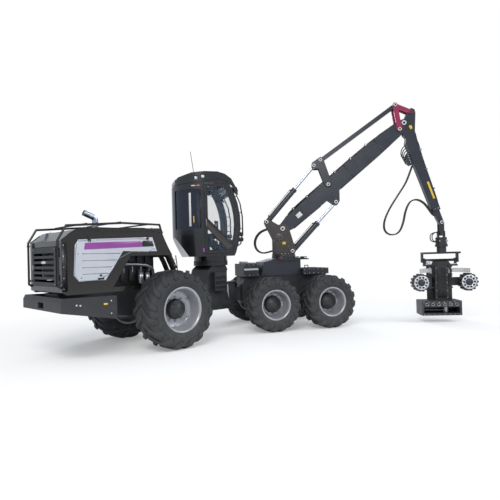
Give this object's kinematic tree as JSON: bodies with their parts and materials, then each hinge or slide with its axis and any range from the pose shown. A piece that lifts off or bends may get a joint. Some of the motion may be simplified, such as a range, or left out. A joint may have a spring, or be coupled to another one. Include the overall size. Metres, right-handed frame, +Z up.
{
  "type": "forestry harvester",
  "caption": "Articulated wheeled forestry harvester with a turning cab, a parallel crane and a harvester head.",
  "frame": {"origin": "middle of the whole machine's bottom, on the ground", "axes": "+X along the front frame's heading, +Y to its left, +Z up"},
  "size_m": [10.9618, 4.5692, 5.8739],
  "materials": {
    "tyre_rubber": "matte",
    "rim_silver": "satin",
    "frame_grey": "satin",
    "hood_bronze": "gloss",
    "hatch_silver": "satin",
    "cover_black": "satin",
    "exhaust_chrome": "gloss",
    "cab_dark": "gloss",
    "cab_glass": "gloss",
    "seat_fabric": "matte",
    "crane_slate": "satin",
    "pillar_brown": "satin",
    "hose_black": "matte",
    "rod_chrome": "gloss",
    "link_red": "satin",
    "head_black": "satin",
    "head_steel": "satin"
  },
  "bodies": {
    "rear_unit": {"rear_frame": "frame_grey", "rear_bumper": "frame_grey", "engine_hood": "hood_bronze", "engine_block": "cover_black", "exhaust_stack": "exhaust_chrome", "handrail_right": "cover_black", "handrail_left": "cover_black", "cab_pedestal": "frame_grey", "access_steps": "frame_grey"},
    "hatch_right": {"side_hatch_right": "hatch_silver"},
    "hatch_left": {"side_hatch_left": "hatch_silver"},
    "radiator_cover": {"radiator_door": "cover_black"},
    "cab": {"cab_shell": "cab_dark", "cab_windows": "cab_glass", "cab_seat": "seat_fabric"},
    "door": {"cab_door": "cab_dark", "cab_door_pane": "cab_glass"},
    "front_unit": {"front_frame": "frame_grey", "bogie_right": "frame_grey", "bogie_left": "frame_grey", "valve_box": "frame_grey", "crane_base": "frame_grey", "front_cover": "frame_grey"},
    "wheel_rear_right": {"tyre_rear_right": "tyre_rubber", "rim_rear_right": "rim_silver"},
    "wheel_rear_left": {"tyre_rear_left": "tyre_rubber", "rim_rear_left": "rim_silver"},
    "wheel_front_right_rear": {"tyre_front_right_rear": "tyre_rubber", "rim_front_right_rear": "rim_silver"},
    "wheel_front_right_front": {"tyre_front_right_front": "tyre_rubber", "rim_front_right_front": "rim_silver"},
    "wheel_front_left_rear": {"tyre_front_left_rear": "tyre_rubber", "rim_front_left_rear": "rim_silver"},
    "wheel_front_left_front": {"tyre_front_left_front": "tyre_rubber", "rim_front_left_front": "rim_silver"},
    "pillar": {"crane_pillar": "pillar_brown", "pillar_hoses": "hose_black"},
    "boom": {"crane_boom": "crane_slate"},
    "lift_barrel": {"lift_cylinder_barrel": "crane_slate"},
    "lift_rod": {"lift_cylinder_rod": "rod_chrome"},
    "rocker": {"crane_rocker": "crane_slate"},
    "fold_barrel": {"fold_cylinder_barrel": "crane_slate"},
    "fold_rod": {"fold_cylinder_rod": "rod_chrome"},
    "top_link": {"top_rod": "crane_slate"},
    "link_lower": {"elbow_link_lower": "link_red"},
    "link_upper": {"elbow_link_upper": "link_red"},
    "stick": {"crane_stick": "crane_slate"},
    "extension": {"stick_extension": "crane_slate"},
    "swing_link": {"tip_link": "head_black"},
    "rotator_body": {"rotator": "head_black"},
    "yoke": {"head_yoke": "head_black"},
    "head": {"head_frame": "head_black"},
    "arm_left": {"feed_arm_left": "head_black"},
    "arm_right": {"feed_arm_right": "head_black"},
    "roller_left": {"feed_roller_left": "head_steel"},
    "roller_right": {"feed_roller_right": "head_steel"},
    "knife_l": {"knife_left": "head_steel"},
    "knife_r": {"knife_right": "head_steel"},
    "saw": {"saw_bar": "head_steel"}
  },
  "joints": [
    {"name": "articulation", "type": "hinge", "parent": "rear_unit", "child": "front_unit", "pos_m": [-0.70851, 0.8546, 0.88965], "axis": [0, 0, 1], "range_deg": [-10, 66]},
    {"name": "spin_rear_right", "type": "hinge", "parent": "rear_unit", "child": "wheel_rear_right", "pos_m": [-2.49949, -1.31519, 0.81465], "axis": [-0.4695, 0.8829, 0], "continuous": true},
    {"name": "spin_rear_left", "type": "hinge", "parent": "rear_unit", "child": "wheel_rear_left", "pos_m": [-3.50885, 0.58315, 0.81465], "axis": [-0.4695, 0.8829, 0], "continuous": true},
    {"name": "spin_front_right_rear", "type": "hinge", "parent": "front_unit", "child": "wheel_front_right_rear", "pos_m": [0.04149, -0.2204, 0.66765], "axis": [0, 1, 0], "continuous": true},
    {"name": "spin_front_right_front", "type": "hinge", "parent": "front_unit", "child": "wheel_front_right_front", "pos_m": [1.54149, -0.2204, 0.66765], "axis": [0, 1, 0], "continuous": true},
    {"name": "spin_front_left_rear", "type": "hinge", "parent": "front_unit", "child": "wheel_front_left_rear", "pos_m": [0.04149, 1.92961, 0.66765], "axis": [0, 1, 0], "continuous": true},
    {"name": "spin_front_left_front", "type": "hinge", "parent": "front_unit", "child": "wheel_front_left_front", "pos_m": [1.54149, 1.92961, 0.66765], "axis": [0, 1, 0], "continuous": true},
    {"name": "cab_turn", "type": "hinge", "parent": "rear_unit", "child": "cab", "pos_m": [-1.32657, 0.52597, 1.77965], "axis": [0, 0, 1], "range_deg": [-52, 108]},
    {"name": "door_swing", "type": "hinge", "parent": "cab", "child": "door", "pos_m": [-1.60057, -0.22803, 2.79965], "axis": [0, 0, -1], "range_deg": [0, 90]},
    {"name": "hatch_right_lift", "type": "hinge", "parent": "rear_unit", "child": "hatch_right", "pos_m": [-3.55944, -1.55826, 2.28465], "axis": [-0.8823, -0.4691, -0.0383], "range_deg": [0, 85]},
    {"name": "hatch_left_lift", "type": "hinge", "parent": "rear_unit", "child": "hatch_left", "pos_m": [-4.30309, -0.15967, 2.28465], "axis": [0.8823, 0.4691, 0.0383], "range_deg": [0, 85]},
    {"name": "radiator_cover_swing", "type": "hinge", "parent": "rear_unit", "child": "radiator_cover", "pos_m": [-4.69135, -1.94718, 1.77465], "axis": [0, 0, 1], "range_deg": [0, 110]},
    {"name": "crane_slew", "type": "hinge", "parent": "front_unit", "child": "pillar", "pos_m": [0.79149, 0.8546, 1.82965], "axis": [0, 0, 1], "range_deg": [-88, 132]},
    {"name": "boom_lift", "type": "hinge", "parent": "pillar", "child": "boom", "pos_m": [0.79149, 0.8546, 2.58965], "axis": [-0.3746, -0.9272, 0], "range_deg": [-45, 35]},
    {"name": "lift_barrel_swing", "type": "hinge", "parent": "pillar", "child": "lift_barrel", "pos_m": [1.02329, 0.76095, 1.97965], "axis": [-0.3746, -0.9272, 0], "range_deg": [-42, 33]},
    {"name": "lift_rod_slide", "type": "slide", "parent": "lift_barrel", "child": "lift_rod", "axis": [0.6338, -0.2561, 0.7299], "range_m": [-0.491, 0.387]},
    {"name": "fold_barrel_swing", "type": "hinge", "parent": "pillar", "child": "fold_barrel", "pos_m": [0.3928, 1.01569, 2.78965], "axis": [-0.3746, -0.9272, 0], "range_deg": [-44, 35]},
    {"name": "stick_fold", "type": "hinge", "parent": "boom", "child": "stick", "pos_m": [3.86047, -0.38534, 5.31965], "axis": [0.3746, 0.9272, 0], "range_deg": [-75, 22]},
    {"name": "rocker_swing", "type": "hinge", "parent": "boom", "child": "rocker", "pos_m": [1.95975, 0.3826, 3.74965], "axis": [0.3746, 0.9272, 0], "range_deg": [-49, 16]},
    {"name": "top_rod_swing", "type": "hinge", "parent": "rocker", "child": "top_link", "pos_m": [1.78358, 0.45378, 4.41965], "axis": [0.3746, 0.9272, 0], "range_deg": [-16, 48]},
    {"name": "link_lower_swing", "type": "hinge", "parent": "boom", "child": "link_lower", "pos_m": [3.74921, -0.34039, 5.14965], "axis": [0.3746, 0.9272, 0], "range_deg": [-52, 17]},
    {"name": "link_upper_swing", "type": "hinge", "parent": "stick", "child": "link_upper", "pos_m": [4.04591, -0.46026, 5.60965], "axis": [0.3746, 0.9272, 0], "range_deg": [-13, 39]},
    {"name": "fold_rod_slide", "type": "slide", "parent": "fold_barrel", "child": "fold_rod", "axis": [0.6148, -0.2484, 0.7485], "range_m": [-0.525, 0.168]},
    {"name": "stick_extend", "type": "slide", "parent": "stick", "child": "extension", "axis": [-0.2942, 0.1189, 0.9483], "range_m": [-1.3, 0]},
    {"name": "tip_swing", "type": "hinge", "parent": "extension", "child": "swing_link", "pos_m": [4.69494, -0.72249, 2.62965], "axis": [-0.3746, -0.9272, 0], "range_deg": [-60, 60]},
    {"name": "cross_swing", "type": "hinge", "parent": "swing_link", "child": "rotator_body", "pos_m": [4.69494, -0.72249, 2.32965], "axis": [0.9272, -0.3746, 0], "range_deg": [-25, 25]},
    {"name": "head_turn", "type": "hinge", "parent": "rotator_body", "child": "yoke", "pos_m": [4.69494, -0.72249, 2.03965], "axis": [0, 0, 1], "range_deg": [-170, 170]},
    {"name": "head_tilt", "type": "hinge", "parent": "yoke", "child": "head", "pos_m": [4.76611, -0.54632, 1.61965], "axis": [0.9272, -0.3746, 0], "range_deg": [0, 90]},
    {"name": "feed_arms_close", "type": "hinge", "parent": "head", "child": "arm_left", "pos_m": [4.53806, -0.4434, 1.03965], "axis": [0, 0, 1], "range_deg": [0, 42]},
    {"name": "feed_arm_right_close", "type": "hinge", "parent": "head", "child": "arm_right", "pos_m": [5.00166, -0.6307, 1.03965], "axis": [0, 0, -1], "range_deg": [0, 42]},
    {"name": "feed_roller_left_spin", "type": "hinge", "parent": "arm_left", "child": "roller_left", "pos_m": [4.13399, -0.49585, 1.03965], "axis": [0.3746, 0.9272, 0], "continuous": true},
    {"name": "feed_roller_right_spin", "type": "hinge", "parent": "arm_right", "child": "roller_right", "pos_m": [5.25588, -0.94912, 1.03965], "axis": [0.3746, 0.9272, 0], "continuous": true},
    {"name": "knives_close", "type": "hinge", "parent": "head", "child": "knife_l", "pos_m": [4.53806, -0.4434, 1.34465], "axis": [0, 0, 1], "range_deg": [0, 34]},
    {"name": "knife_right_close", "type": "hinge", "parent": "head", "child": "knife_r", "pos_m": [5.00166, -0.6307, 1.34465], "axis": [0, 0, -1], "range_deg": [0, 34]},
    {"name": "saw_swing", "type": "hinge", "parent": "head", "child": "saw", "pos_m": [4.75057, -0.74496, 0.30565], "axis": [0, 0, 1], "range_deg": [0, 95]}
  ],
  "couplings": [
    {"joint": "lift_barrel_swing", "follows": "boom_lift", "ratio": 0.87},
    {"joint": "lift_rod_slide", "follows": "boom_lift", "m_per_rad": 0.6},
    {"joint": "fold_barrel_swing", "follows": "boom_lift", "ratio": 0.91735},
    {"joint": "rocker_swing", "follows": "stick_fold", "ratio": 0.61345},
    {"joint": "top_rod_swing", "follows": "stick_fold", "ratio": -0.59384},
    {"joint": "link_lower_swing", "follows": "stick_fold", "ratio": 0.64975},
    {"joint": "link_upper_swing", "follows": "stick_fold", "ratio": -0.47637},
    {"joint": "fold_rod_slide", "follows": "stick_fold", "m_per_rad": 0.38578},
    {"joint": "feed_arm_right_close", "follows": "feed_arms_close", "ratio": 1},
    {"joint": "knife_right_close", "follows": "knives_close", "ratio": 1}
  ]
}
